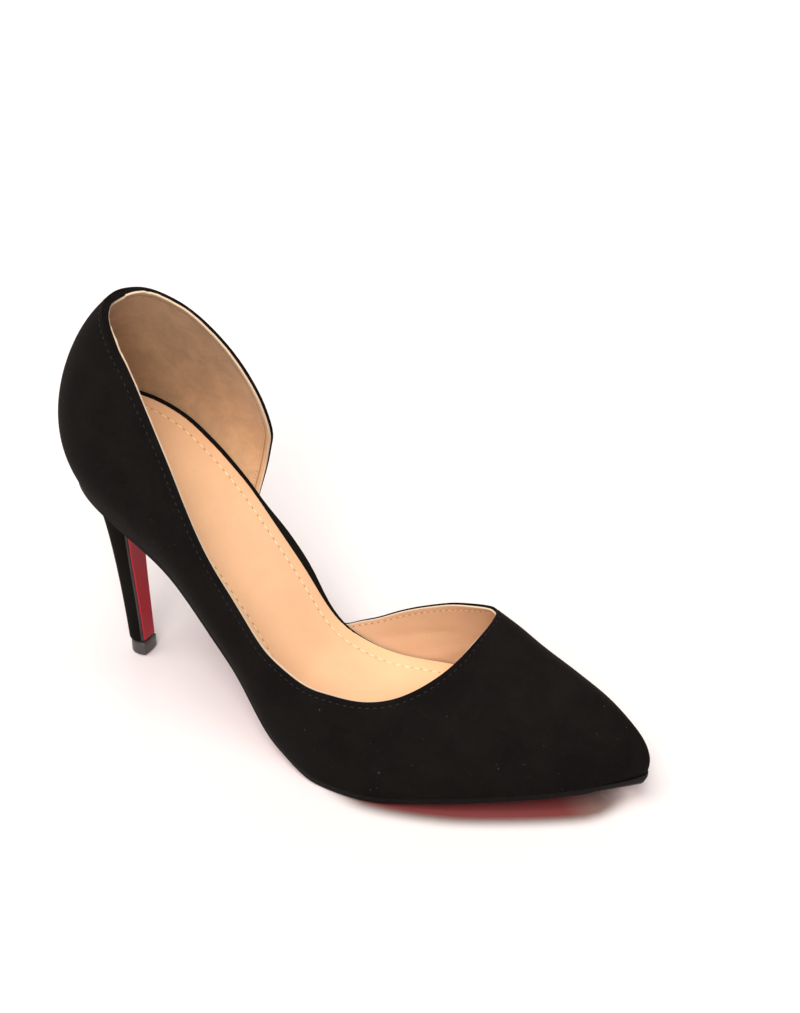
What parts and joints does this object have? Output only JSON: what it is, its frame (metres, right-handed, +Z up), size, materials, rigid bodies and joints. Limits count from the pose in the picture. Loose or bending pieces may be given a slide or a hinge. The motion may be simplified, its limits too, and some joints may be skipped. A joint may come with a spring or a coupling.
{
  "type": "asymmetric pump",
  "caption": "Right-foot pointed-toe pump with a slim high heel, closed on the outer side and cut away to the sole on the inner side of the waist.",
  "frame": {"origin": "middle of the shoe's bounding box, on the floor", "axes": "+X from heel to toe, -Y to the outer side of the foot, +Z up"},
  "size_m": [0.227, 0.0756, 0.1478],
  "materials": {
    "suede": "black suede nap",
    "sole_red": "lacquered, dark edge",
    "board_suede": "black suede wrap",
    "sock_leather": "smooth tan",
    "heel_suede": "black suede wrap",
    "breast_red": "lacquered",
    "tip": "satin black"
  },
  "bodies": {
    "root": {"upper": "suede", "outsole": "sole_red", "insole_board": "board_suede", "insole": "sock_leather", "heel": "heel_suede", "heel_breast_cover": "breast_red", "top_piece": "tip"}
  },
  "joints": []
}
